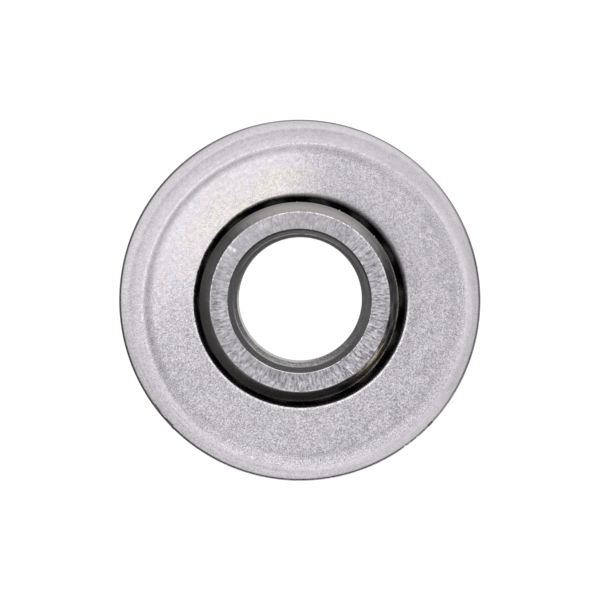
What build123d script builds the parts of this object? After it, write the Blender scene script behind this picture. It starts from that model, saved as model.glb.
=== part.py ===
from build123d import *
from math import asin, degrees, floor, hypot
import os

# Flanged ball bearing of pressed steel, for a wheel that turns on a plain axle. The axis is Z.
# The origin is in the flange's seating face, and +Z points out of the flanged side.
# Every length is in millimetres and every angle in degrees. The radial sizes are built up
# from the axle outwards, so the wall and ball sizes set the hub and the rim.

# Axle and inner race wall, as far as the bottom of the ball groove
axle_dia = 15.875
axle_clearance = 0.04
inner_wall = 1.83

# Balls: a full set without a cage, as many as the pitch circle holds
ball_dia = 5.556
least_ball_gap = 0.03
first_ball_angle = 1.8

# Ball grooves: the play is radial, and the groove is a little wider than the ball
race_play = 0.01
groove_ratio = 0.52
inner_groove_depth = 2.09
outer_groove_depth = 1.48

# Outer race wall behind the groove, and the room that its corners leave in the cup's bend
outer_wall = 0.879
race_corner_room = 0.1

# Rear shell: the drawn cup that presses into the wheel, with the flange at its mouth
cup_sheet = 1.2
hub_depth = 11.11
bend_radius = 0.6
cup_edge_break = 0.25
flange_reach = 4.24

# Front shell: the disc, its skirt round the cup's flange, and the crimp over the back bevel
disc_sheet = 1.0
skirt_sheet = 1.0
crimp_bevel = 0.5
rim_radius = 0.4
lip_radius = 0.6

# Coined face of the disc: the die sat off centre, so the step is not concentric with the rim
coin_depth = 0.3
coin_ramp = 0.85
coin_blend = 0.5
band_width = 2.25
coin_offset_x = 0.52
coin_offset_y = -0.40

# Inner race noses, the same at both ends, and the gap that the shells leave round the race
opening_clearance = 0.66
nose_height = 1.5
nose_drop = 0.8
nose_shoulder = 1.2
nose_bulge = 0.05
mouth_flare = 0.62
mouth_depth = 1.1
edge_break = 0.12

# Radii, from the axle outwards
bore_radius = axle_dia / 2 + axle_clearance
mouth_radius = bore_radius + mouth_flare
inner_groove_bottom = bore_radius + inner_wall
land_radius = inner_groove_bottom + inner_groove_depth
face_radius = land_radius - nose_shoulder
opening_radius = land_radius + opening_clearance
ball_radius = ball_dia / 2
pitch_radius = inner_groove_bottom + race_play + ball_radius
outer_groove_bottom = pitch_radius + ball_radius + race_play
race_shoulder_radius = outer_groove_bottom - outer_groove_depth
cup_inner_radius = outer_groove_bottom + outer_wall
hub_radius = cup_inner_radius + cup_sheet
rim_outer_radius = hub_radius + flange_reach
skirt_inner_radius = rim_outer_radius - skirt_sheet
coin_crest_radius = rim_outer_radius - band_width
coin_foot_radius = coin_crest_radius - coin_ramp

# Levels along the axis
cup_top = cup_sheet
annulus_top = cup_top + disc_sheet
band_top = annulus_top + coin_depth
cup_end = -hub_depth
cup_floor = cup_end + cup_sheet
ball_plane = (cup_top + cup_floor) / 2
ring_top = annulus_top + nose_height
ring_bottom = 2 * ball_plane - ring_top

# The full set: each ball takes this angle of the pitch circle with its least gap
angle_for_ball = 2 * degrees(asin((ball_radius + least_ball_gap / 2) / pitch_radius))
ball_count = floor(360 / angle_for_ball)
groove_radius = groove_ratio * ball_dia


def turned(section, centre_x=0, centre_y=0):
    """The ring that a half section makes, turned about an upright line."""
    return Pos(centre_x, centre_y, 0) * revolve(Plane.XZ * section, axis=Axis.Z)


def at(section, *points):
    """The corners of a section nearest to the points given."""
    return [min(section.vertices(), key=lambda v: hypot(v.X - r, v.Y - z)) for r, z in points]


# Rear shell: flange, wall and end of the cup, with equal sheet round both of its bends
flange_edge_top = (skirt_inner_radius, cup_top)
flange_edge_bevel = (skirt_inner_radius, crimp_bevel)
flange_back = (skirt_inner_radius - crimp_bevel, 0)
mouth_inside = (cup_inner_radius, cup_top)
mouth_outside = (hub_radius, 0)
floor_inside = (cup_inner_radius, cup_floor)
end_outside = (hub_radius, cup_end)
lip_inside = (opening_radius, cup_floor)
lip_outside = (opening_radius, cup_end)
cup_section = make_face(
    Polyline(
        flange_edge_top,
        mouth_inside,
        floor_inside,
        lip_inside,
        lip_outside,
        end_outside,
        mouth_outside,
        flange_back,
        flange_edge_bevel,
        close=True,
    )
)
cup_section = fillet(at(cup_section, floor_inside, mouth_outside), bend_radius)
cup_section = fillet(at(cup_section, mouth_inside, end_outside), bend_radius + cup_sheet)
cup_section = fillet(at(cup_section, lip_inside, lip_outside), cup_edge_break)
rear_shell = turned(cup_section)

# Front shell blank: a flat disc whose skirt wraps the cup's flange and hooks over its bevel
rim_back = (rim_outer_radius, 0)
rim_front = (rim_outer_radius, band_top)
disc_section = make_face(
    Polyline(
        (opening_radius, cup_top),
        flange_edge_top,
        flange_edge_bevel,
        flange_back,
        rim_back,
        rim_front,
        (opening_radius, band_top),
        close=True,
    )
)
disc_section = fillet(at(disc_section, rim_back, rim_front), rim_radius)
blank = turned(disc_section)

# The coining die presses the middle down and leaves the outer band standing behind a soft step
coin_foot = (coin_foot_radius, annulus_top)
coin_crest = (coin_crest_radius, band_top)
die_edge = coin_crest_radius + coin_blend
die_back = band_top + coin_depth
die_section = make_face(
    Polyline(
        (0, annulus_top),
        coin_foot,
        coin_crest,
        (die_edge, band_top),
        (die_edge, die_back),
        (0, die_back),
        close=True,
    )
)
die_section = fillet(at(die_section, coin_foot, coin_crest), coin_blend)
front_shell = blank - turned(die_section, coin_offset_x, coin_offset_y)
lip_edge = front_shell.edges().filter_by_position(Axis.Z, annulus_top, annulus_top)
front_shell = fillet(lip_edge.sort_by(SortBy.LENGTH)[0], lip_radius)

# Outer race: two formed rings that meet in the plane of the ball centres
outer_groove = Pos(outer_groove_bottom - groove_radius, ball_plane) * Circle(groove_radius)
race_halves = []
for seat in (cup_top, cup_floor):
    race_corner = (cup_inner_radius, seat)
    half = make_face(
        Polyline(
            (race_shoulder_radius, ball_plane),
            (cup_inner_radius, ball_plane),
            race_corner,
            (race_shoulder_radius, seat),
            close=True,
        )
    )
    half = chamfer(at(half, race_corner), bend_radius + race_corner_room)
    race_halves.append(turned(half - outer_groove))
outer_race_front, outer_race_rear = race_halves

# Inner race: the outline of one nose and half of the bore, mirrored in the plane of the balls
nose_face = (face_radius, ring_top)
nose_land = (land_radius, ring_top - nose_drop)
nose_mouth = (mouth_radius, ring_top)
bore_edge = (bore_radius, ring_top - mouth_depth)
nose = make_face(
    [
        Line((bore_radius, ball_plane), bore_edge),
        Line(bore_edge, nose_mouth),
        Line(nose_mouth, nose_face),
        SagittaArc(nose_face, nose_land, nose_bulge),
        Line(nose_land, (land_radius, ball_plane)),
        Line((land_radius, ball_plane), (bore_radius, ball_plane)),
    ]
)
nose = fillet(at(nose, nose_mouth, nose_face, nose_land), edge_break)
inner_groove = Pos(inner_groove_bottom + groove_radius, ball_plane) * Circle(groove_radius)
half_race = turned(nose - inner_groove)
inner_race = half_race + mirror(half_race, about=Plane.XY.offset(ball_plane))

# Balls, counted round the axis from the one nearest +X
balls = {}
for place in range(ball_count):
    turn = Rot(0, 0, first_ball_angle + place * 360 / ball_count)
    balls[f"ball_{place + 1:02d}"] = turn * Pos(pitch_radius, 0, ball_plane) * Sphere(ball_radius)

nodes = {
    "front_shell": front_shell,
    "rear_shell": rear_shell,
    "outer_race_front": outer_race_front,
    "outer_race_rear": outer_race_rear,
    "inner_race": inner_race,
    **balls,
}
os.makedirs("parts", exist_ok=True)
for name, shape in nodes.items():
    export_step(shape, f"parts/{name}.step")
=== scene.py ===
import math

import bpy
import numpy as np
from mathutils import Matrix, Vector, noise


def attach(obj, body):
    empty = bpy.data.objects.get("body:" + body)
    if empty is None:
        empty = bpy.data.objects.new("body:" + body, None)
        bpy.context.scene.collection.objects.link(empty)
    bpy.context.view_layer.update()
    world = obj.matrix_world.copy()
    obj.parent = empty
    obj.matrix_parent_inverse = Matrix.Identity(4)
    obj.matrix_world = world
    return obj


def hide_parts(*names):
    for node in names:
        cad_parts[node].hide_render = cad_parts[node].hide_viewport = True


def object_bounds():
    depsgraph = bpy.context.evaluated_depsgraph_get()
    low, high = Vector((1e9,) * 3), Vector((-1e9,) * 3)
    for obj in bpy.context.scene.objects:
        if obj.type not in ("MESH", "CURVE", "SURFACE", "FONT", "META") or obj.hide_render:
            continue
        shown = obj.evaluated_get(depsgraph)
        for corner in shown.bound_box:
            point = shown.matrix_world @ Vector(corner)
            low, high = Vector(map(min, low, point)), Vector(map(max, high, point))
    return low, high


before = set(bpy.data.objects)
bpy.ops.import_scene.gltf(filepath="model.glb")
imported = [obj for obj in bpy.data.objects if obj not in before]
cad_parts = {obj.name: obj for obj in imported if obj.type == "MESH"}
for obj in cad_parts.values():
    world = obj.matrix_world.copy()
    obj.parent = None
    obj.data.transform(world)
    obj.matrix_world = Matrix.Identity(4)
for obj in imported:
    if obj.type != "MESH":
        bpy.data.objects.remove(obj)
cad_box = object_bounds()

MM = 0.001

# The two pieces that are rebuilt here have the sizes of the solids, in millimetres.
# Radii of the inner race
BORE = 7.9775
MOUTH = 8.5975
GROOVE_BOTTOM = 9.8075
FACE = 10.6975
LAND = 11.8975
# Radii of the front shell
OPENING = 12.5575
MID_SEAT = 17.0
SKIRT = 20.7025
RIM = 21.7025
# Heights above the flange's seat
CUP_TOP = 1.2
HOLE_WALL = 1.4
ANNULUS_TOP = 2.2
BAND_TOP = 2.5
RING_TOP = 3.7
BALL_PLANE = -4.355
# Roundings and bevels of the shell
LIP = 0.6
RIM_ROUND = 0.4
RIM_WIDE = 0.6
CRIMP = 0.5
ROLL_OFF = math.tan(math.radians(2.6))
# The race: its mouth's bevel along the axis and the bevel's slope, the height of the burr on its face, the drop of
# its shoulder and how far that bulges, and the radius of the groove
BEVEL_AXIS = 1.1
BEVEL_SLOPE = 0.56
BURR = 0.03
NOSE_DROP = 0.8
NOSE_BULGE = 0.05
GROOVE = 2.88912

# Circles on the front face: their centres in X and Y, and their radii
HOLE = (0.09, -0.05, OPENING)
FOOT = (0.19, -0.17, 17.95)
CREST = (0.566, -0.582, 19.42)
ROLL = (0.46, -0.34, 21.04)
# The same for the race's face and its land, which are turned a little off the axis
FACE_RING = (0.04, -0.09, FACE)
LAND_RING = (-0.08, -0.12, LAND)

# Nicks in the rim at the lower right: direction in degrees, width across the rim, and half width in degrees
NICKS = ((316.8, 0.30, 0.35), (310.9, 0.22, 0.5), (307.8, 0.22, 0.4), (306.1, 0.26, 0.6))
# The two at the lower left, the second of which ends in a small bulge
LONG_NICK = 217.0
WEDGE_NICK = 224.2
BULGE = 225.0

# Painted shade and painted highlight on the zinc, on one side of a circle. Each row has the distances from the
# circle between which it lies, the softness of its edges, its direction in degrees, the cosines of the angle from
# it at which the mark starts and is full, and its strength before it starts and where it is full.
SHADE_BY_FOOT = (
    (0.5, 1.4, 0.2, -2, 0.55, 0.9, 0.0, 0.14),
    (0.35, 1.05, 0.2, 292, 0.8, 0.97, 0.0, 0.13),
)
HIGHLIGHT_BY_CREST = (
    (-0.14, 0.5, 0.12, 15, 0.83, 0.97, 0.0, 0.14),
    (-0.5, 0.4, 0.14, 268, 0.75, 0.96, 0.0, 0.13),
    (-0.1, 0.5, 0.15, 214, 0.95, 0.99, 0.0, 0.07),
)
# Arcs of painted shade by the outer edge: the radii at which one starts and is full, then the same five numbers
SHADE_BY_EDGE = (
    (20.8, 21.3, 165, -0.4, 0.8, 0.02, 0.16),
    (20.2, 20.9, 212, 0.8, 0.97, 0.0, 0.17),
    (20.4, 21.0, -6, 0.8, 0.97, 0.0, 0.16),
    (20.9, 21.4, 72, 0.3, 0.8, 0.0, 0.14),
)
# Parts of the studio's wall: the same five numbers, with the light that each adds
WALL_PARTS = (
    (77, 0.42, 0.99, 0.06, 0.80),
    (135, 0.6, 1.0, 0.0, 0.06),
    (190, 0.4, 0.95, 0.0, 0.035),
    (275, 0.3, 0.9, 0.0, -0.03),
    (-22, 0.75, 0.97, 0.0, 0.055),
)


class Graph:
    """A node tree with short ways to add and join nodes."""

    def __init__(self, tree):
        self.tree = tree
        tree.nodes.clear()

    def node(self, kind, inputs=None, **settings):
        n = self.tree.nodes.new(kind)
        for key, value in settings.items():
            setattr(n, key, value)
        for key, value in (inputs or {}).items():
            self.put(n.inputs[key], value)
        return n

    def put(self, socket, value):
        if isinstance(value, bpy.types.NodeSocket):
            self.tree.links.new(value, socket)
        else:
            socket.default_value = value

    def math(self, operation, *values):
        n = self.node("ShaderNodeMath", operation=operation)
        for i, value in enumerate(values):
            self.put(n.inputs[i], value)
        return n.outputs[0]

    def chain(self, operation, values):
        total = values[0]
        for value in values[1:]:
            total = self.math(operation, total, value)
        return total

    def times(self, *values):
        return self.chain("MULTIPLY", values)

    def plus(self, *values):
        return self.chain("ADD", values)

    def most(self, *values):
        return self.chain("MAXIMUM", values)

    def less(self, amount):
        return self.math("SUBTRACT", 1.0, amount)

    def vary(self, value, amount):
        """A factor about 1, made from noise about 0.5."""
        return self.plus(1.0, self.times(self.plus(value, -0.5), amount))

    def vector(self, operation, *values):
        n = self.node("ShaderNodeVectorMath", operation=operation)
        for i, value in enumerate(values):
            self.put(n.inputs[i], value)
        return n.outputs["Value"] if operation in ("DOT_PRODUCT", "LENGTH") else n.outputs[0]

    def scaled(self, v, factor):
        n = self.node("ShaderNodeVectorMath", {"Vector": v, "Scale": factor}, operation="SCALE")
        return n.outputs[0]

    def xyz(self, x, y, z):
        return self.node("ShaderNodeCombineXYZ", {"X": x, "Y": y, "Z": z}).outputs[0]

    def step(self, value, low, high, to_low=0.0, to_high=1.0):
        """A soft step from to_low, where the value is low, to to_high, where it is high."""
        n = self.node(
            "ShaderNodeMapRange",
            {"Value": value, "From Min": low, "From Max": high, "To Min": to_low, "To Max": to_high},
            interpolation_type="SMOOTHSTEP",
        )
        return n.outputs["Result"]

    def between(self, value, low, high, soft):
        """1 between low and high, with soft edges."""
        up = self.step(value, low - soft, low + soft)
        down = self.step(value, high - soft, high + soft, 1.0, 0.0)
        return self.times(up, down)

    def noise(self, coords, scale, detail=2.0, roughness=0.5):
        n = self.node(
            "ShaderNodeTexNoise",
            {"Vector": coords, "Scale": scale, "Detail": detail, "Roughness": roughness},
        )
        return n.outputs["Fac"]

    def hues(self, coords, scale, detail):
        """Noise with three values at each place."""
        n = self.node("ShaderNodeTexNoise", {"Vector": coords, "Scale": scale, "Detail": detail})
        return n.outputs["Color"]

    def wound(self, heading, around, value, along):
        """Coordinates for noise that goes round the axis and along a value."""
        return self.vector("ADD", self.scaled(heading, around), self.xyz(0.0, 0.0, self.times(value, along)))

    def mix(self, factor, a, b, kind="RGBA", blend="MIX"):
        n = self.node("ShaderNodeMix", data_type=kind)
        if kind == "RGBA":
            n.blend_type = blend
        chosen = {"FLOAT": (0, 2, 3, 0), "RGBA": (0, 6, 7, 2)}[kind]
        self.put(n.inputs[chosen[0]], factor)
        self.put(n.inputs[chosen[1]], a)
        self.put(n.inputs[chosen[2]], b)
        return n.outputs[chosen[3]]

    def mix_value(self, factor, a, b):
        return self.mix(factor, a, b, "FLOAT")

    def gain(self, colour, factor):
        """A colour made lighter or darker by a factor."""
        return self.mix(1.0, colour, self.xyz(factor, factor, factor), blend="MULTIPLY")

    def bump(self, height, strength, distance, normal=None):
        n = self.node("ShaderNodeBump", {"Height": height, "Strength": strength, "Distance": distance})
        if normal is not None:
            self.put(n.inputs["Normal"], normal)
        return n.outputs["Normal"]

    def place(self):
        """Places on a piece in millimetres: the point, its height, its radius and its direction."""
        point = self.scaled(self.node("ShaderNodeTexCoord").outputs["Object"], 1000.0)
        height = self.node("ShaderNodeSeparateXYZ", {"Vector": point}).outputs["Z"]
        level = self.vector("MULTIPLY", point, (1, 1, 0))
        return point, height, self.vector("LENGTH", level), self.vector("NORMALIZE", level)

    def past(self, point, ring):
        """How far out a point lies from a circle, given by its centre and radius."""
        off = self.vector("SUBTRACT", point, (ring[0], ring[1], 0))
        return self.plus(self.vector("LENGTH", self.vector("MULTIPLY", off, (1, 1, 0))), -ring[2])

    def side(self, heading, degrees, low, high, to_low=0.0, to_high=1.0):
        """A soft choice of one side, by the cosine of the angle from a direction."""
        return self.step(self.vector("DOT_PRODUCT", heading, towards(degrees)), low, high, to_low, to_high)

    def scratch(self, point, start, end, wide):
        """1 along a straight scratch between two places, which are given in X and Y."""
        start, end = Vector((*start, 0)), Vector((*end, 0))
        along = (end - start).normalized()
        off = self.vector("SUBTRACT", point, tuple((start + end) / 2))
        u = self.math("ABSOLUTE", self.vector("DOT_PRODUCT", off, tuple(along)))
        v = self.math("ABSOLUTE", self.vector("DOT_PRODUCT", off, (-along.y, along.x, 0)))
        half = (end - start).length / 2
        ends = self.step(u, half - 0.15, half + 0.1, 1.0, 0.0)
        return self.times(ends, self.step(v, wide * 0.4, wide, 1.0, 0.0))

    def finish(self, **inputs):
        shader = self.node("ShaderNodeBsdfPrincipled", {"Metallic": 1.0, **inputs})
        self.node("ShaderNodeOutputMaterial", {"Surface": shader.outputs[0]})


def material(name):
    m = bpy.data.materials.new(name)
    m.use_nodes = True
    return m, Graph(m.node_tree)


def rgb(r, g, b):
    """A linear colour from its written sRGB value, 0 to 255."""
    return tuple(((v / 255 + 0.055) / 1.055) ** 2.4 if v > 10 else v / 255 / 12.92 for v in (r, g, b)) + (1.0,)


def towards(degrees):
    """A level direction, by its angle from +X."""
    return (math.cos(math.radians(degrees)), math.sin(math.radians(degrees)), 0.0)


def zinc_plate():
    """Bright zinc on pressed sheet: a fine grain, a clearer patch painted lighter as a highlight, and a drawn,
    smoother band, with painted shade and highlights round the step, the hole and the rim.
    """
    m, g = material("zinc_plate")
    point, height, radius, heading = g.place()
    from_hole, from_foot, from_crest, from_roll = (g.past(point, ring) for ring in (HOLE, FOOT, CREST, ROLL))
    front = g.step(height, 1.5, 1.9)
    band = g.times(g.step(from_crest, -0.45, 0.05), front)

    def side(*where):
        return g.side(heading, *where)

    def arc(distance, low, high, soft, *where):
        """A ring between two distances from a circle, on one side."""
        return g.times(g.between(distance, low, high, soft), side(*where))

    grain = g.noise(point, scale=6.6, detail=1.0, roughness=0.6)
    coarse = g.noise(point, scale=1.9, detail=3.0, roughness=0.6)
    cloud = g.noise(point, scale=0.33, detail=3.0, roughness=0.55)
    mottle = g.step(g.noise(point, scale=1.1, detail=3.0, roughness=0.65), 0.38, 0.62)

    # the clearer, smoother patch, painted lighter as a highlight, with a soft edge that runs outwards near +Y, and
    # with cream and pink clouds
    edge = g.plus(g.vector("DOT_PRODUCT", heading, towards(180)), g.times(g.plus(coarse, -0.5), 0.2))
    highlight_patch = g.times(g.step(edge, -0.30, 0.22), side(106, -0.15, 0.75), front, g.less(band))
    cream = g.step(g.noise(point, scale=0.42, detail=3.0, roughness=0.6), 0.30, 0.58)
    cream = g.times(cream, side(112, 0.6, 0.95, 0.3, 1.0), g.step(radius, 14.8, 17.2, 1.0, 0.25))
    pink = g.step(g.noise(g.vector("ADD", point, (40, 0, 0)), scale=0.5, detail=3.0, roughness=0.6), 0.40, 0.66)
    clear = g.mix(cream, rgb(239, 235, 244), rgb(242, 238, 230))
    clear = g.mix(g.times(pink, 0.6), clear, rgb(244, 232, 236))
    colour = g.mix(cloud, rgb(200, 196, 202), rgb(210, 207, 212))
    colour = g.mix(g.times(highlight_patch, 0.94), colour, clear)
    colour = g.mix(g.times(band, 0.85), colour, g.mix(cloud, rgb(209, 204, 209), rgb(218, 213, 219)))
    fleck = g.vector("ADD", g.scaled(g.hues(point, scale=3.4, detail=2.0), 0.14), (0.93, 0.93, 0.93))
    colour = g.mix(1.0, colour, fleck, blend="MULTIPLY")

    # how strong the grain is
    grit = g.mix_value(band, 2.1, side(225, 0.2, 0.8, 0.55, 1.05))
    grit = g.mix_value(highlight_patch, grit, g.step(radius, 14.2, 16.8, 0.95, 0.5))
    grit = g.times(grit, side(48, 0.5, 0.95, 1.0, 0.75))

    # the cup behind is smoother, with faint marks along it from deep drawing
    cup = g.step(height, 0.9, 1.3, 1.0, 0.0)
    grit = g.times(grit, g.plus(1.0, g.times(cup, -0.68)))
    drawn = g.noise(g.wound(heading, around=70.0, value=height, along=0.35), scale=1.0, detail=2.0, roughness=0.6)
    hoops = g.noise(g.xyz(0.0, 0.0, g.times(height, 3.0)), scale=1.0, detail=3.0, roughness=0.7)
    cup_tone = g.times(g.vary(drawn, g.times(cup, 0.4)), g.vary(hoops, g.times(cup, 0.22)))
    cup_tone = g.times(cup_tone, g.less(g.times(cup, mottle, 0.14)), g.less(g.times(cup, 0.30)))
    speck = g.times(g.vary(grain, grit), g.vary(coarse, g.mix_value(band, 0.42, 0.2)))

    # fine lines round the step
    ringwise = g.wound(heading, around=2.5, value=from_crest, along=4.5)
    lines = g.noise(ringwise, scale=1.0, detail=2.0, roughness=0.7)
    lines_on = g.times(g.step(from_crest, -1.2, -0.2), side(-70, -0.5, 0.6, 0.25, 0.5), front)

    # painted shade on the ramp, all of it on the left and only the foot on the right
    left = g.times(g.step(from_foot, -0.31, 0.35), g.step(from_crest, -0.42, -0.10, 1.0, 0.0))
    left = g.times(left, side(158, -0.25, 0.9, 0.0, 0.30), g.plus(0.8, g.times(mottle, 0.3)), front)
    right = arc(from_foot, 0.0, 0.6, 0.3, -25, -0.55, 0.1, 0.0, 0.13)
    right = g.times(right, g.plus(0.6, g.times(mottle, 0.7)), front)
    for row in SHADE_BY_FOOT:
        right = g.plus(right, g.times(arc(from_foot, *row), front))

    # dull clouds inside the foot on the right, a duller zone round the hole there, and painted shade where the
    # hole's edge rolls in at the upper right
    dull = g.step(g.noise(point, scale=0.75, detail=3.0, roughness=0.6), 0.47, 0.64)
    dull = g.times(dull, side(-25, 0.2, 0.9), front, g.between(from_foot, -2.05, 0.55, 0.6), 0.15)
    near_lip = g.times(g.step(radius, 13.8, 15.8, 1.0, 0.0), side(15, 0.3, 0.9), front, 0.10)
    lip_roll_shade = g.times(g.step(from_hole, 0.3, 1.1, 1.0, 0.0), side(42, 0.75, 0.95), front, 0.30)

    # the crest has a bright broken line of painted highlight, smoother too, with painted highlight outside it and
    # rings of painted shade and highlight beyond
    broken = g.step(g.noise(point, scale=2.4, detail=2.0, roughness=0.6), 0.40, 0.54)
    crest_highlight = g.times(g.between(from_crest, -0.12, 0.10, 0.05), g.most(broken, side(142, 0.85, 0.97)), front)
    crest_highlight = g.times(crest_highlight, side(125, -0.2, 0.8, 0.12, 0.40))
    painted_glow = g.times(g.step(from_crest, 0.02, 0.1), g.step(from_crest, 0.5, 1.1, 1.0, 0.0))
    painted_glow = g.times(painted_glow, side(130, 0.1, 0.9), 0.12)
    for row in HIGHLIGHT_BY_CREST:
        painted_glow = g.plus(painted_glow, arc(from_crest, *row))
    painted_glow = g.plus(painted_glow, arc(from_roll, -0.12, 0.14, 0.1, 80, 0.4, 0.85, 0.0, 0.06))
    smudge = g.step(g.noise(point, scale=1.7, detail=2.0, roughness=0.6), 0.42, 0.66)
    roll_shade = g.times(arc(from_roll, -0.5, -0.14, 0.12, 115, -0.1, 0.6, 0.0, 0.12), g.plus(0.4, smudge))
    upper_right = g.times(g.step(from_crest, 0.2, 0.6), g.step(from_roll, -0.5, -0.1, 1.0, 0.0))
    roll_shade = g.plus(roll_shade, g.times(upper_right, side(60, 0.5, 0.9), 0.05))

    # the edge of the hole has a painted highlight at the bottom, and rolls in softly at the upper right
    lip_highlight = g.times(arc(from_hole, 0.31, 0.52, 0.05, 275, -0.25, 0.3), front)
    lip_highlight = g.times(lip_highlight, g.plus(0.3, g.times(coarse, 1.5)), 0.42)
    lip_roll = g.times(g.step(from_hole, 0.25, 0.6, 1.0, 0.0), g.step(height, 1.3, 1.5), side(50, 0.5, 0.85))

    # the outer edge, where the sheet is drawn over, has painted shade but for one light spot, and so do its nicks
    rim_shade = g.times(g.between(height, 1.2, 2.38, 0.03), g.between(radius, 21.15, 21.68, 0.012))
    rim_shade_sides = g.plus(side(190, -0.2, 0.95, 0.42, 0.74), side(62, 0.8, 0.97, 0.0, 0.22))
    rim_shade = g.times(rim_shade, g.plus(rim_shade_sides, side(287, 0.6, 0.95, 0.0, -0.14)), side(305.4, 0.9998, 0.99995, 1.0, 0.0))
    for start, full, *where in SHADE_BY_EDGE:
        rim_shade = g.plus(rim_shade, g.times(g.step(radius, start, full), side(*where), front))
    above = g.step(height, 1.2, 1.3)
    nick_shade = g.most(side(LONG_NICK, 0.9993, 0.99985), side(WEDGE_NICK - 1.2, 0.9992, 0.99975))
    nick_shade = g.times(nick_shade, g.step(radius, 21.17, 21.30))
    nick_shade = g.most(nick_shade, g.times(side(219.3, 0.9914, 0.9969), g.step(radius, 21.42, 21.54)))
    rim_shade = g.most(rim_shade, g.times(nick_shade, above, 0.93))
    small_nick_shade = g.times(g.step(radius, 21.28, 21.42), side(NICKS[0][0], 0.99975, 0.99995))
    rim_shade = g.most(rim_shade, g.times(small_nick_shade, above, 0.95))

    tone = g.times(speck, g.vary(lines, lines_on), g.less(left), g.less(right), g.less(dull), g.less(near_lip))
    tone = g.times(tone, g.less(lip_roll_shade), g.less(roll_shade), g.plus(1.0, crest_highlight, painted_glow, lip_highlight))
    tone = g.times(tone, g.plus(1.0, g.times(rim_shade, -0.84)))
    rough = g.plus(0.30, g.times(g.plus(coarse, -0.5), 0.18), g.times(band, -0.04), g.times(highlight_patch, -0.04))
    rough = g.plus(rough, g.times(crest_highlight, -0.2), g.times(lip_roll, 0.25))
    even = g.most(g.times(band, 0.75), g.times(cup, 0.7))
    normal = g.bump(coarse, strength=0.3, distance=0.00004)
    normal = g.bump(g.times(grain, g.less(even)), strength=0.5, distance=0.00002, normal=normal)
    normal = g.bump(g.times(drawn, cup), strength=0.3, distance=0.00002, normal=normal)
    normal = g.bump(g.times(lines, lines_on), strength=0.25, distance=0.00001, normal=normal)
    g.finish(**{"Base Color": g.gain(colour, g.times(tone, cup_tone)), "Roughness": rough, "Normal": normal})
    return m


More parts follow.
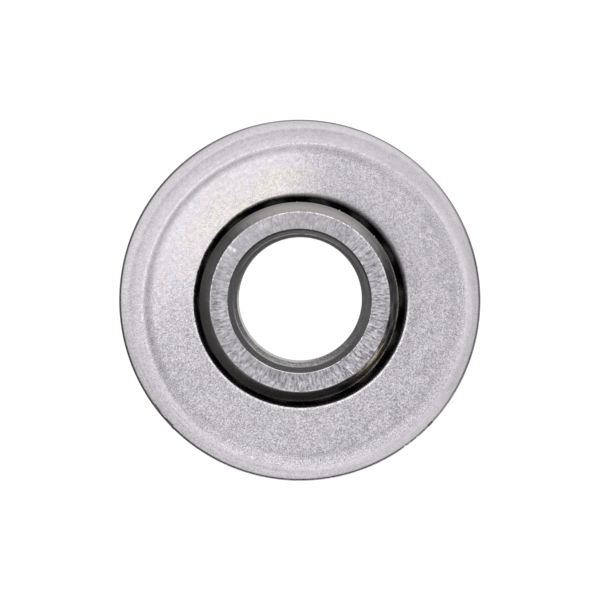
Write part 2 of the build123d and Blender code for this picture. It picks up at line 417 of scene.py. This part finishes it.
def turned_steel():
    """The inner race: a streaky end face, a glossy shoulder, a satin mouth and a dull bore, with painted shade and
    highlights on the shoulder, the mouth, the edges and the bore.
    """
    m, g = material("turned_steel")
    point, height, radius, heading = g.place()
    out = g.math("ABSOLUTE", g.plus(height, -BALL_PLANE))
    top = RING_TOP - BALL_PLANE
    bevel = top - BEVEL_AXIS
    from_face, from_land = g.past(point, FACE_RING), g.past(point, LAND_RING)

    def side(*where):
        return g.side(heading, *where)

    # where the four surfaces lie
    face = g.times(g.step(out, top - 0.09, top - 0.035), g.step(radius, MOUTH - 0.07, MOUTH - 0.03))
    face = g.times(face, g.step(from_face, 0.01, 0.05, 1.0, 0.0))
    shoulder = g.times(g.step(from_face, 0.03, 0.08), g.step(out, top - 1.0, top - 0.9))
    mouth = g.times(g.step(radius, MOUTH - 0.04, MOUTH + 0.02, 1.0, 0.0), g.step(out, bevel - 0.02, bevel + 0.05))
    bore = g.times(g.step(radius, BORE + 0.02, BORE + 0.06, 1.0, 0.0), g.less(mouth))

    # strokes along the radius on the face
    wobble = g.scaled(g.vector("SUBTRACT", g.hues(point, scale=0.9, detail=1.0), (0.5, 0.5, 0.5)), 0.03)
    bent = g.vector("NORMALIZE", g.vector("ADD", heading, wobble))
    strokes = g.noise(g.wound(bent, around=46.0, value=radius, along=1.25), scale=1.0, detail=2.0, roughness=0.6)
    spots = g.noise(point, scale=4.2, detail=2.0, roughness=0.6)
    blotch = g.noise(point, scale=1.0, detail=3.0, roughness=0.6)
    cloud = g.noise(point, scale=0.5, detail=2.0, roughness=0.5)
    calm = g.times(side(112, 0.2, 0.95, 1.0, 0.48), side(-50, 0.5, 0.95, 1.0, 1.3))
    face_tone = g.times(g.vary(strokes, g.times(calm, 2.45)), g.vary(spots, g.times(calm, 1.1)))
    face_tone = g.times(face_tone, g.vary(blotch, 0.6))
    worn_in = g.times(side(268, 0.7, 0.95), g.step(radius, 9.3, 9.9, 0.2, 0.02))
    worn_out = g.times(side(183, 0.8, 0.97), g.step(radius, 9.6, 10.2, 0.0, 0.17))
    worn_edge = g.times(side(-30, 0.88, 0.98), g.step(radius, 10.0, 10.6), 0.13)
    light = g.times(side(130, 0.75, 0.97), g.step(radius, 9.2, 10.0, 0.04, 0.13))
    clean = g.times(side(-38, 0.82, 0.97), g.between(radius, 9.3, 10.0, 0.25), 0.06)
    face_tone = g.times(face_tone, g.less(worn_in), g.less(worn_out), g.less(worn_edge))
    face_tone = g.times(face_tone, g.plus(1.0, light), g.plus(1.0, clean))
    face_colour = g.gain(g.mix(cloud, rgb(180, 177, 183), rgb(192, 189, 195)), face_tone)
    broad, narrow = ((-8.5, 6.38), (-7.6, 5.95), 0.26), ((5.55, -7.85), (6.5, -8.72), 0.08)
    scratches = g.times(g.most(g.scratch(point, *broad), g.scratch(point, *narrow)), g.step(spots, 0.34, 0.5))
    face_colour = g.mix(scratches, face_colour, rgb(255, 254, 255))

    # fine turning lines round the shoulder, coarser on the right
    rings = g.noise(g.xyz(g.times(radius, 8.0), g.times(out, 2.0), 0.0), scale=1.0, detail=2.0, roughness=0.7)
    arcs = g.noise(g.wound(heading, around=6.0, value=radius, along=5.5), scale=1.0, detail=3.0, roughness=0.65)
    scored = side(-28, 0.1, 0.9)
    smear = g.noise(g.vector("MULTIPLY", point, (1.0, 1.0, 0.3)), scale=1.1, detail=3.0, roughness=0.6)
    gouges = g.times(g.step(arcs, 0.43, 0.58, 0.62, -0.15), side(-34, 0.75, 0.95))
    # painted shade on the shoulder: inside on the left, outside at the lower right, and a little towards the upper
    # right
    inner_shade = g.times(g.step(from_face, 0.1, 0.45, 1.0, 0.0), side(172, 0.5, 0.9), 0.5)
    outer_shade = g.times(g.step(from_land, -0.75, -0.35), side(-42, 0.8, 0.96), 0.5)
    shoulder_tone = g.times(g.vary(rings, 0.4), g.vary(arcs, g.plus(0.3, g.times(scored, 2.5))))
    shoulder_tone = g.times(shoulder_tone, g.less(gouges), g.less(g.times(side(28, 0.9, 0.98), 0.25)))
    shoulder_tone = g.most(g.times(shoulder_tone, g.less(inner_shade), g.less(outer_shade)), 0.1)
    shoulder_colour = g.gain(g.mix(smear, rgb(149, 144, 142), rgb(159, 158, 157)), shoulder_tone)
    # a gold tint painted where the lamp's glint falls at the lower right: a painted warm reflection
    gold_glint = g.times(side(-38, 0.945, 0.99), g.step(spots, 0.35, 0.55, 0.25, 1.0))
    shoulder_colour = g.mix(gold_glint, shoulder_colour, g.gain(rgb(206, 195, 172), shoulder_tone))
    # a painted highlight along the land's edge, on the lower right half
    land_highlight = g.times(g.between(from_land, -0.07, 0.02, 0.02), side(-50, 0.0, 0.6), g.step(spots, 0.4, 0.6))
    shoulder_colour = g.mix(g.times(land_highlight, 0.2), shoulder_colour, rgb(235, 232, 228))

    # the mouth's bevel, with painted shade at its outer edge on top and over its upper side, and a few light dots
    # there
    mouth_lines = g.noise(g.xyz(g.times(out, 7.0), radius, 3.0), scale=1.0, detail=3.0, roughness=0.7)
    edge_shade = g.times(g.step(radius, MOUTH - 0.28, MOUTH - 0.12), side(80, -0.1, 0.6, 0.0, 0.72))
    mouth_tone = g.times(g.vary(mouth_lines, 1.0), g.vary(spots, 0.3))
    mouth_tone = g.times(mouth_tone, g.less(edge_shade), side(78, -0.2, 0.8, 1.1, 0.58))
    mouth_colour = g.gain(rgb(208, 206, 207), mouth_tone)
    dots = g.step(g.noise(point, scale=5.0, detail=2.0, roughness=0.6), 0.58, 0.68)
    dots = g.times(dots, g.step(radius, MOUTH - 0.16, MOUTH - 0.24), side(82, 0.3, 0.85), 0.6)
    mouth_colour = g.mix(dots, mouth_colour, rgb(232, 232, 234))

    # the bore: drawn marks along it, painted light and shade that is lightest on the wall towards the bottom, a
    # worn line near the mouth lit as a painted highlight, and lighter zones of painted reflection and light at the
    # far end
    depth = g.plus(RING_TOP - BEVEL_AXIS, g.times(height, -1.0))
    pits = g.noise(g.vector("MULTIPLY", point, (1.0, 1.0, 0.08)), scale=5.0, detail=2.0, roughness=0.65)
    patchy = g.noise(g.vector("MULTIPLY", point, (1.0, 1.0, 0.1)), scale=0.7, detail=3.0, roughness=0.6)
    facing = g.vector("DOT_PRODUCT", heading, towards(258))
    painted_bore_light = g.plus(0.06, g.step(facing, -1.0, 0.5, 0.0, 0.27), g.step(facing, 0.3, 1.1, 0.0, 0.75))
    painted_bore_light = g.times(painted_bore_light, g.vary(pits, g.step(facing, -0.5, 0.6, 1.0, 3.2)), g.vary(patchy, 0.9))
    bore_colour = g.gain(rgb(215, 213, 213), g.most(painted_bore_light, 0.05))
    far_end_reflection = g.times(g.step(depth, 8.2, 10.2), side(225, 0.3, 0.85))
    bore_colour = g.mix(far_end_reflection, bore_colour, rgb(176, 174, 174))
    back_end_light = g.times(g.step(depth, 9.5, 11.0), side(95, 0.1, 0.6))
    bore_colour = g.mix(back_end_light, bore_colour, rgb(150, 150, 150))
    broken = g.step(g.noise(point, scale=0.8, detail=3.0, roughness=0.65), 0.36, 0.5)
    worn_highlight = g.times(g.between(depth, 0.2, 1.3, 0.2), side(225, 0.6, 0.95), broken)
    bore_colour = g.mix(worn_highlight, bore_colour, rgb(232, 231, 233))

    # painted highlights: a light line where the bevel meets the bore, a glint at the mouth, and the burr at the
    # face's outer edge, a real bead painted bright
    bevel_highlight = g.times(g.between(depth, -0.14, 1.2, 0.08), g.step(radius, BORE + 0.1, BORE + 0.15, 1.0, 0.0))
    bevel_highlight = g.times(bevel_highlight, side(100, 0.5, 0.9), g.plus(0.35, broken), 0.6)
    glint_side = g.most(side(315, 0.7, 0.95), side(168, 0.7, 0.93, 0.0, 0.75))
    glint_side = g.most(side(262, 0.72, 0.9), g.times(glint_side, g.step(spots, 0.45, 0.6)))
    glint = g.times(g.between(radius, MOUTH - 0.03, MOUTH + 0.07, 0.02), g.step(out, top - 0.12, top - 0.05))
    burr_highlight_side = g.most(side(62, 0.5, 0.85), side(150, 0.7, 0.9, 0.0, 0.75), side(268, 0.85, 0.96, 0.0, 0.6))
    burr_highlight = g.times(g.step(out, top - 0.06, top - 0.03), g.between(from_face, -0.13, 0.05, 0.03))
    burr_highlight = g.times(burr_highlight, burr_highlight_side, g.step(g.noise(point, scale=4.0, detail=2.0, roughness=0.6), 0.42, 0.6))

    colour = g.mix(shoulder, rgb(110, 107, 104), shoulder_colour)
    colour = g.mix(face, colour, face_colour)
    colour = g.mix(mouth, colour, mouth_colour)
    colour = g.mix(bevel_highlight, g.mix(bore, colour, bore_colour), rgb(250, 249, 247))
    colour = g.mix(g.most(burr_highlight, g.times(glint, glint_side, 0.8)), colour, rgb(252, 250, 252))
    rough = g.mix_value(shoulder, 0.32, g.plus(0.17, g.times(g.plus(smear, -0.5), 0.1)))
    rough = g.mix_value(face, rough, g.plus(0.27, g.times(g.plus(spots, -0.5), 0.2)))
    rough = g.mix_value(mouth, rough, 0.35)
    rough = g.mix_value(bore, rough, g.plus(0.7, g.times(far_end_reflection, -0.3)))
    metal = g.less(g.times(bore, g.less(g.most(far_end_reflection, worn_highlight))))
    normal = g.bump(g.times(strokes, face), strength=0.5, distance=0.00003)
    turning = g.times(g.plus(rings, g.times(arcs, scored, 2.0)), shoulder)
    normal = g.bump(turning, strength=0.3, distance=0.000008, normal=normal)
    pitting = g.times(pits, g.plus(bore, g.times(mouth, 0.25)))
    normal = g.bump(pitting, strength=0.3, distance=0.00002, normal=normal)
    g.finish(**{
        "Base Color": colour, "Roughness": rough, "Metallic": metal, "Normal": normal, "Specular IOR Level": 0.12,
    })
    return m


def oily_steel(name, dark, light, rough):
    """Hardened steel under a film of dark oil; its darkness is partly painted shade, for parts that lie deep
    inside.
    """
    m, g = material(name)
    point = g.place()[0]
    film = g.noise(point, scale=0.8, detail=4.0, roughness=0.6)
    dots = g.noise(point, scale=3.0, detail=2.0, roughness=0.5)
    colour = g.gain(g.mix(g.step(film, 0.35, 0.7), dark, light), g.plus(1.0, g.times(g.plus(dots, -0.5), 0.3)))
    gloss = g.plus(rough, g.times(g.plus(film, -0.5), 0.2))
    normal = g.bump(film, strength=0.15, distance=0.00002)
    g.finish(**{"Base Color": colour, "Roughness": gloss, "Metallic": 0.6, "Normal": normal})
    return m


def dress(node, m):
    """Gives a material to a solid that stays as it is."""
    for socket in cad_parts[node].material_slots:
        socket.material = m


plate = zinc_plate()
turned = turned_steel()
# painted shade in part: the races and balls are made dark so that the gap over them reads black
race = oily_steel("race_steel", rgb(52, 50, 49), rgb(84, 82, 80), 0.42)
ball = oily_steel("ball_steel", rgb(50, 49, 49), rgb(84, 83, 83), 0.38)
for shell in ("front_shell", "rear_shell"):
    dress(shell, plate)
dress("inner_race", turned)
for half in ("outer_race_front", "outer_race_rear"):
    dress(half, race)
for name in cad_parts:
    if name.startswith("ball_"):
        dress(name, ball)


def ring_mesh(name, angles, rings, m):
    """A closed ring: each entry of rings holds the radii and heights of one loop, in millimetres."""
    count, turns = len(rings), len(angles)
    points = np.empty((count, turns, 3))
    for i, (radii, heights) in enumerate(rings):
        points[i, :, 0] = radii * np.cos(angles)
        points[i, :, 1] = radii * np.sin(angles)
        points[i, :, 2] = heights
    i, j = np.meshgrid(np.arange(count), np.arange(turns), indexing="ij")
    after_i, after_j = (i + 1) % count, (j + 1) % turns
    corners = (i * turns + j, after_i * turns + j, after_i * turns + after_j, i * turns + after_j)
    quads = np.stack(corners, axis=-1)[:, :, ::-1].reshape(-1, 4)
    mesh = bpy.data.meshes.new(name)
    mesh.from_pydata((points.reshape(-1, 3) * MM).tolist(), [], quads.tolist())
    mesh.update()
    mesh.polygons.foreach_set("use_smooth", [True] * len(mesh.polygons))
    mesh.set_sharp_from_angle(angle=math.radians(38))
    mesh.materials.append(m)
    piece = bpy.data.objects.new(name, mesh)
    bpy.context.scene.collection.objects.link(piece)
    return piece


def spaced(low, high, count):
    """Values from low, up to but without high."""
    return np.linspace(low, high, count, endpoint=False)


def angle_set(step, *fine):
    """Angles round a full turn in radians: an even step, and finer ones between each pair of limits."""
    values = list(np.arange(0, 360, step))
    for low, high, small in fine:
        values = [v for v in values if not (low - step / 2 < v < high + step / 2)]
        values += list(np.arange(low, high, small))
    return np.radians(np.array(sorted(values)))


def rough_line(angles, radius, size, seed):
    """An uneven line round a circle: a value for each angle, about -1 to 1, with bumps of the size given."""
    out = []
    for a in angles:
        spot = Vector((math.cos(a), math.sin(a), 0)) * (radius / size)
        spot.z = seed * 7.31
        out.append(noise.fractal(spot, 0.7, 2.0, 3))
    return np.array(out)


def bell(angles, centre, width):
    """A smooth bump round a circle at an angle, in degrees."""
    off = (np.degrees(angles) - centre + 180) % 360 - 180
    return np.exp(-((off / width) ** 2))


def eased(t, half):
    """A corner from level to a slope of 1, rounded over half each side."""
    return np.where(t < -half, 0.0, np.where(t > half, t, (t + half) ** 2 / (4 * half)))


def front_shell():
    angles = angle_set(0.6, (215.0, 227.0, 0.2), (304.5, 318.5, 0.2))
    flat = 0 * angles
    cos, sin = np.cos(angles), np.sin(angles)

    def circle(ring, more=0.0):
        """Radii from the axis to a circle that stands off it, made wider by the amount given."""
        along = ring[0] * cos + ring[1] * sin
        return along + np.sqrt((ring[2] + more) ** 2 - ring[0] ** 2 - ring[1] ** 2 + along ** 2)

    def surface(radii):
        """Heights of the front face at the radii given, one for each angle."""
        x, y = radii * cos, radii * sin
        past_foot, past_crest, past_roll = (np.hypot(x - c[0], y - c[1]) - c[2] for c in (FOOT, CREST, ROLL))
        t = np.clip(past_foot / (past_foot - past_crest), 0, 1)
        z = ANNULUS_TOP + (BAND_TOP - ANNULUS_TOP) * (t - 0.35 * np.sin(2 * np.pi * t) / (2 * np.pi))
        return z - ROLL_OFF * eased(past_roll, 0.12)

    def zone(start, end, count):
        """Loops of the front face from one line of radii up to another."""
        for t in spaced(0.0, 1.0, count=count):
            radii = start + (end - start) * t
            yield radii, surface(radii)

    # raggedness of the hole's edge, most on the left
    ragged = rough_line(angles, OPENING, size=0.4, seed=1) * (0.015 + 0.11 * bell(angles, 160, 42))
    ragged += rough_line(angles, OPENING, size=2.5, seed=2) * 0.02 + 0.045 * bell(angles, 165, 32)
    rim_line = rough_line(angles, RIM, size=0.5, seed=3) * 0.005 - 0.011
    rim_line = rim_line - 0.045 * bell(angles, 230, 45) - 0.035 * bell(angles, 62, 25)
    wider = 0.7 * bell(angles, 42, 30) + 0.2 * bell(angles, 90, 30)
    lip_width = LIP * (1.0 + wider - 0.38 * bell(angles, 245, 60) - 0.28 * bell(angles, 160, 40))

    # from the wall of the hole over its lip, across the front face, and down the rim
    rings = []
    hole = circle(HOLE)
    for turn in spaced(180.0, 90.0, count=14):
        a = math.radians(turn)
        out = hole + lip_width * (1 + math.cos(a)) + ragged * (turn - 90) / 90
        rings.append((out, ANNULUS_TOP - LIP + LIP * math.sin(a) + flat))
    near_foot, past_crest, rim_flat = circle(FOOT, -0.15), circle(CREST, 0.3), RIM - RIM_WIDE
    rings += zone(hole + lip_width, near_foot, 14)
    rings += zone(near_foot, past_crest, 34)
    rings += zone(past_crest, rim_flat, 18)
    rim_top = surface(rim_flat + flat)
    for turn in spaced(90.0, 0.0, count=12):
        a = math.radians(turn)
        out = rim_flat + (RIM_WIDE + rim_line) * math.cos(a)
        rings.append((out, rim_top - RIM_ROUND + RIM_ROUND * math.sin(a)))
    for z in spaced(rim_top.min() - RIM_ROUND - 0.02, RIM_ROUND, count=4):
        rings.append((RIM + rim_line, np.minimum(z, rim_top - RIM_ROUND)))
    for turn in spaced(0.0, -90.0, count=6):
        a = math.radians(turn)
        out = RIM - RIM_ROUND + (RIM_ROUND + rim_line) * math.cos(a)
        rings.append((out, RIM_ROUND + RIM_ROUND * math.sin(a) + flat))

    # under the crimp, up inside the skirt, and back along the seat to the hole
    under = ((RIM - RIM_ROUND, 0.0), (SKIRT - CRIMP, 0.0), (SKIRT, CRIMP), (SKIRT, CUP_TOP), (MID_SEAT, CUP_TOP))
    for radius, z in under:
        rings.append((radius + flat, z + flat))
    for radii, z in ((hole + 0.05, CUP_TOP), (hole + ragged, CUP_TOP + 0.05), (hole + ragged, HOLE_WALL)):
        rings.append((radii, z + flat))

    # nicks in the rim: each is a cut at a slant, as wide as given and a little more, that ends above the crimp
    more, lowest = 0.06, 0.3
    before = np.degrees(angles) < WEDGE_NICK
    wedge = np.where(before, bell(angles, WEDGE_NICK, 3.4), bell(angles, WEDGE_NICK, 0.25))
    width = np.maximum(0.30 * bell(angles, LONG_NICK, 1.5) ** 0.5, 0.36 * wedge)
    for centre, wide, half in NICKS:
        width = np.maximum(width, wide * bell(angles, centre, half))
    bulge = 0.05 * bell(angles, BULGE, 0.5)
    slant = (RIM_ROUND + 0.05) / (more + width)
    cut = []
    for radii, heights in rings:
        near = np.clip((radii - rim_flat) / RIM_WIDE, 0, 1)
        nicked = (radii > RIM - 0.65) & (width > 0.02)
        limit = rim_top - np.maximum(0, radii - (RIM - more - width)) * slant
        heights = np.where(nicked, np.minimum(heights, np.maximum(limit, lowest)), heights)
        cut.append((radii + bulge * near * (heights > 1.0), heights))
    return ring_mesh("front_shell_detail", angles, cut, plate)


def inner_race():
    angles = angle_set(0.6)
    flat = 0 * angles
    face_off, land_off = (ring[0] * np.cos(angles) + ring[1] * np.sin(angles) for ring in (FACE_RING, LAND_RING))

    # the burr at the face's outer edge, and how its line and the mouth's wander
    bead = np.clip(rough_line(angles, FACE, size=0.30, seed=5) * 0.5 + 0.5, 0, 1)
    bead *= np.clip(bell(angles, 58, 48) + 0.7 * bell(angles, 150, 34) + 0.5 * bell(angles, 268, 28), 0, 1)
    bead *= np.clip(rough_line(angles, FACE, size=1.1, seed=12) * 0.9 + 0.6, 0, 1)
    wander = rough_line(angles, FACE, size=3.0, seed=6) * 0.045
    wander += rough_line(angles, FACE, size=0.5, seed=9) * 0.025
    wander *= 1 + 1.1 * bell(angles, 150, 45)
    mouth_line = rough_line(angles, MOUTH, size=2.0, seed=7) * 0.02

    # from the middle of the bore to its mouth, and over the bevel
    half = [(BORE + flat, z + flat) for z in (BALL_PLANE, -2.0, 0.0, 1.8)]
    bevel, top = RING_TOP - BEVEL_AXIS, RING_TOP - BURR
    for t in (-0.04, 0.0, 0.04):
        half.append((BORE + max(t, 0) * BEVEL_SLOPE + flat, bevel + t + flat))
    for t in (0.2, 0.4, 0.6, 0.8, 0.92, 0.965, 0.99):
        half.append((BORE + (MOUTH - BORE) * t + mouth_line * t, bevel + (top - bevel) * t + flat))

    # the face, and the burr at its edge
    for dr, dz in ((0.015, -0.004), (0.05, 0.0), (0.1, 0.0)):
        half.append((MOUTH + dr + mouth_line, top + dz + flat))
    for t in spaced(0.0, 1.0, count=12):
        half.append((MOUTH + 0.2 + (FACE - 0.16 - MOUTH - 0.2) * t + face_off * t, top + flat))
    for dr, rise in ((-0.15, 0.0), (-0.11, 0.35), (-0.075, 0.85), (-0.045, 1.0), (-0.015, 0.6), (0.01, 0.0)):
        sunk = 0.004 if dr > 0 else 0
        half.append((FACE + dr + wander + face_off, top + BURR * rise * bead - sunk))

    # the shoulder: a flat arc from the face down to the land
    edge = RING_TOP - NOSE_DROP
    start, end = np.array((FACE + 0.035, top - 0.012)), np.array((LAND, edge))
    chord = end - start
    outwards = np.array((-chord[1], chord[0])) / float(np.hypot(*chord))
    for t in np.linspace(0, 1, 16):
        spot = start + chord * t + outwards * NOSE_BULGE * 4 * t * (1 - t)
        half.append((spot[0] + wander * (1 - t) ** 2 + face_off * (1 - t) + land_off * t, spot[1] + flat))

    # the land, and the groove down to the plane of the balls
    for dz in (0.02, 0.06, 0.12, 0.4):
        half.append((LAND + land_off, edge - dz + flat))
    groove_x = GROOVE_BOTTOM + GROOVE
    reach = math.sqrt(GROOVE ** 2 - (groove_x - LAND) ** 2)
    half.append((LAND + flat, BALL_PLANE + reach + 0.3 + flat))
    for t in np.linspace(0, 1, 9):
        z = reach * (1 - t)
        half.append((groove_x - math.sqrt(GROOVE ** 2 - z * z) + flat, BALL_PLANE + z + flat))

    # the rear half is the same, mirrored in that plane
    mirrored = [(radii, 2 * BALL_PLANE - heights) for radii, heights in half[1:-1]]
    return ring_mesh("inner_race_detail", angles, half + mirrored[::-1], turned)


shell_piece = front_shell()
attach(shell_piece, "outer_ring")
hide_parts("front_shell")
race_piece = inner_race()
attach(race_piece, "inner_ring")
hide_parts("inner_race")

# The floor, on which the bearing stands, looks white and keeps a shadow
FLOOR_HALF = 2.5
low = cad_box[0].z
corners = [(x * FLOOR_HALF, y * FLOOR_HALF, low) for x, y in ((-1, -1), (1, -1), (1, 1), (-1, 1))]
floor_mesh = bpy.data.meshes.new("floor")
floor_mesh.from_pydata(corners, [], [(0, 1, 2, 3)])
floor = bpy.data.objects.new("floor", floor_mesh)
bpy.context.scene.collection.objects.link(floor)
m, g = material("floor_white")
plain = g.node("ShaderNodeBsdfDiffuse", {"Color": (0.8, 0.8, 0.8, 1)}).outputs[0]
seen = g.node("ShaderNodeAddShader")
g.put(seen.inputs[0], g.node("ShaderNodeBsdfDiffuse", {"Color": (0.25, 0.25, 0.25, 1)}).outputs[0])
g.put(seen.inputs[1], g.node("ShaderNodeEmission", {"Color": (1, 1, 1, 1), "Strength": 0.95}).outputs[0])
path = g.node("ShaderNodeLightPath").outputs
choose = g.node("ShaderNodeMixShader")
g.put(choose.inputs[0], g.most(path["Is Camera Ray"], g.most(path["Is Glossy Ray"], path["Is Transmission Ray"])))
g.put(choose.inputs[1], plain)
g.put(choose.inputs[2], seen.outputs[0])
g.node("ShaderNodeOutputMaterial", {"Surface": choose.outputs[0]})
floor_mesh.materials.append(m)

# The world: a soft dome over the top, a wall that is bright only towards +Y, and one soft lamp at the lower right.
# A tip is an angle in degrees from straight up.
DOME_ENDS = (40.0, 58.0)
WALL_GAIN = 1.4
LAMP_TURN = -39
LAMP_TIP = math.radians(64)
LAMP_EDGE = (0.976, 0.997)
LAMP_STRENGTH = 0.34
world = bpy.data.worlds.new("studio")
bpy.context.scene.world = world
world.use_nodes = True
g = Graph(world.node_tree)
direction = g.node("ShaderNodeTexCoord").outputs["Generated"]
up = g.node("ShaderNodeSeparateXYZ", {"Vector": direction}).outputs["Z"]
level_way = g.vector("NORMALIZE", g.vector("MULTIPLY", direction, (1, 1, 0)))
tip = g.times(g.math("ARCCOSINE", up), 180 / math.pi)
wall = g.plus(*(g.side(level_way, *part) for part in WALL_PARTS))
wall = g.times(wall, g.step(tip, 66.0, 88.0, 1.0, 0.62))
wall = g.times(g.plus(wall, g.step(tip, 80.0, 90.0, 0.0, 0.08)), WALL_GAIN)
lit_side = g.side(level_way, 125, -0.9, 0.9, 0.9, 1.16)
dome = g.times(g.mix_value(g.step(tip, 4.0, 22.0), 1.0, lit_side), g.step(tip, 2.0, 16.0, 0.78, 1.0))
strength = g.mix_value(g.step(tip, *DOME_ENDS), dome, wall)
lamp_at = Vector(towards(LAMP_TURN)) * math.sin(LAMP_TIP)
lamp_at.z = math.cos(LAMP_TIP)
lamp = g.step(g.vector("DOT_PRODUCT", direction, lamp_at), *LAMP_EDGE)


def background(amount):
    return g.node("ShaderNodeBackground", {"Color": (1, 1, 1, 1), "Strength": amount}).outputs[0]


light = g.node("ShaderNodeAddShader")
g.put(light.inputs[0], background(strength))
g.put(light.inputs[1], background(g.times(lamp, LAMP_STRENGTH)))
choose = g.node("ShaderNodeMixShader")
g.put(choose.inputs[0], g.node("ShaderNodeLightPath").outputs["Is Camera Ray"])
g.put(choose.inputs[1], light.outputs[0])
g.put(choose.inputs[2], background(1.0))
g.node("ShaderNodeOutputWorld", {"Surface": choose.outputs[0]})

# The camera looks almost straight down, from a little towards +Y, as in the photograph
TARGET = Vector((0.046, 0.084, 2.0)) * MM
REACH = 163.1 * MM
LENS_PX = 1359.0
FRAME_PX = 600
SENSOR = 36.0
back = Vector((0.0067, 0.0173, 1.0)).normalized()
right = Vector((0, 1, 0)).cross(back).normalized()
above = back.cross(right)
eye = TARGET + back * REACH
cam_data = bpy.data.cameras.new("camera")
cam_data.sensor_width = SENSOR
cam_data.lens = SENSOR * LENS_PX / FRAME_PX
cam_data.clip_start = 0.005
cam_data.clip_end = 10.0
cam = bpy.data.objects.new("camera", cam_data)
cam.matrix_world = Matrix([(right[i], above[i], back[i], eye[i]) for i in range(3)] + [(0, 0, 0, 1)])
bpy.context.scene.collection.objects.link(cam)
bpy.context.scene.camera = cam

bpy.context.scene.view_settings.view_transform = "Standard"
